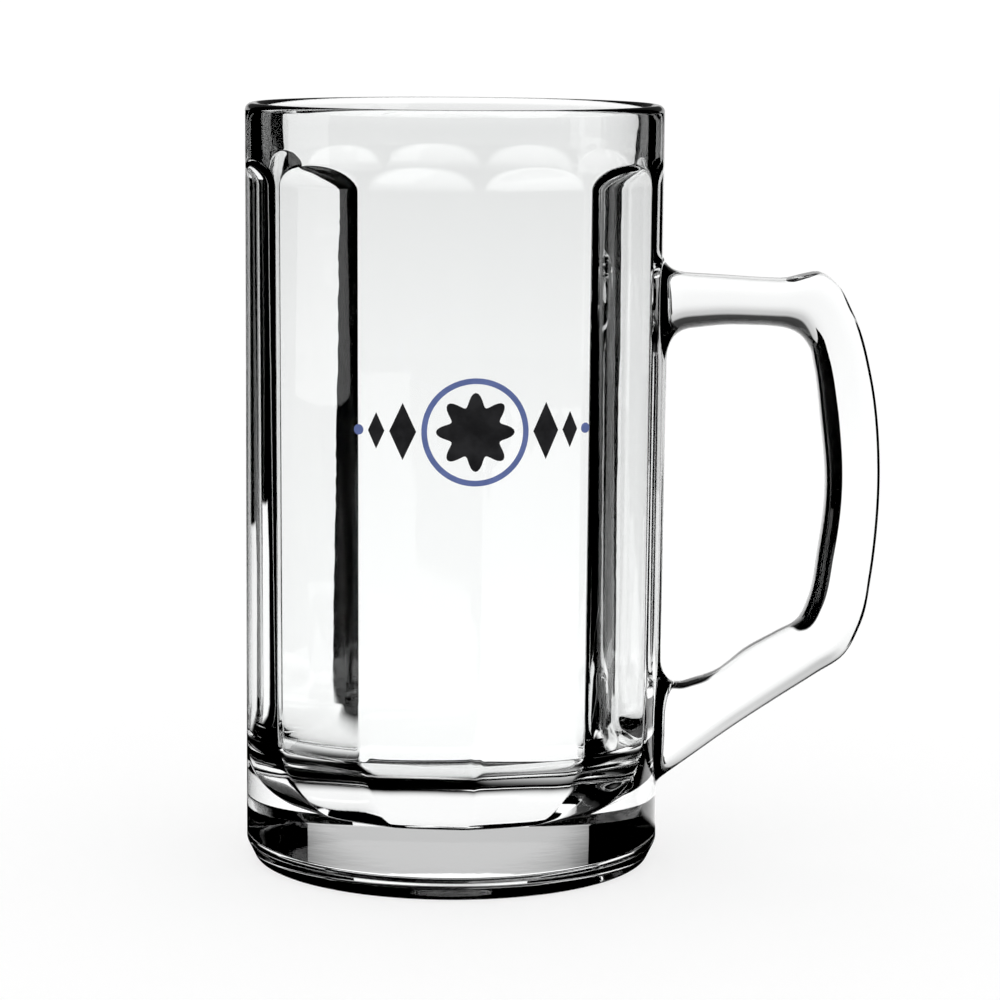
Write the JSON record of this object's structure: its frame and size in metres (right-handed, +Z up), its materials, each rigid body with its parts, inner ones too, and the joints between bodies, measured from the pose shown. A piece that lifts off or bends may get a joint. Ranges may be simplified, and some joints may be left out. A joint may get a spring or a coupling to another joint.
{
  "type": "glass beer mug",
  "caption": "Tall clear pressed-glass mug with a smooth round outside, flat panels inside, a thick base, a bent bar handle and a small fired print.",
  "frame": {"origin": "centre of the flat base, on the mug's axis", "axes": "+Z up along the mug's axis, +X towards the handle, -Y the front that carries the print"},
  "size_m": [0.1284, 0.0843, 0.1534],
  "materials": {
    "clear_glass": "clear fire-polished soda-lime glass, faintly rippled",
    "black_enamel": "black enamel print, fired on, satin",
    "blue_enamel": "slate-blue enamel print, fired on, satin"
  },
  "bodies": {
    "root": {"glass_body": "clear_glass", "handle_bar": "clear_glass", "upper_handle_root": "clear_glass", "lower_handle_root": "clear_glass", "print_ring": "blue_enamel", "print_rosette": "black_enamel", "print_lozenge_left_1": "black_enamel", "print_lozenge_left_2": "black_enamel", "print_dot_left": "blue_enamel", "print_lozenge_right_1": "black_enamel", "print_lozenge_right_2": "black_enamel", "print_dot_right": "blue_enamel"}
  },
  "joints": []
}
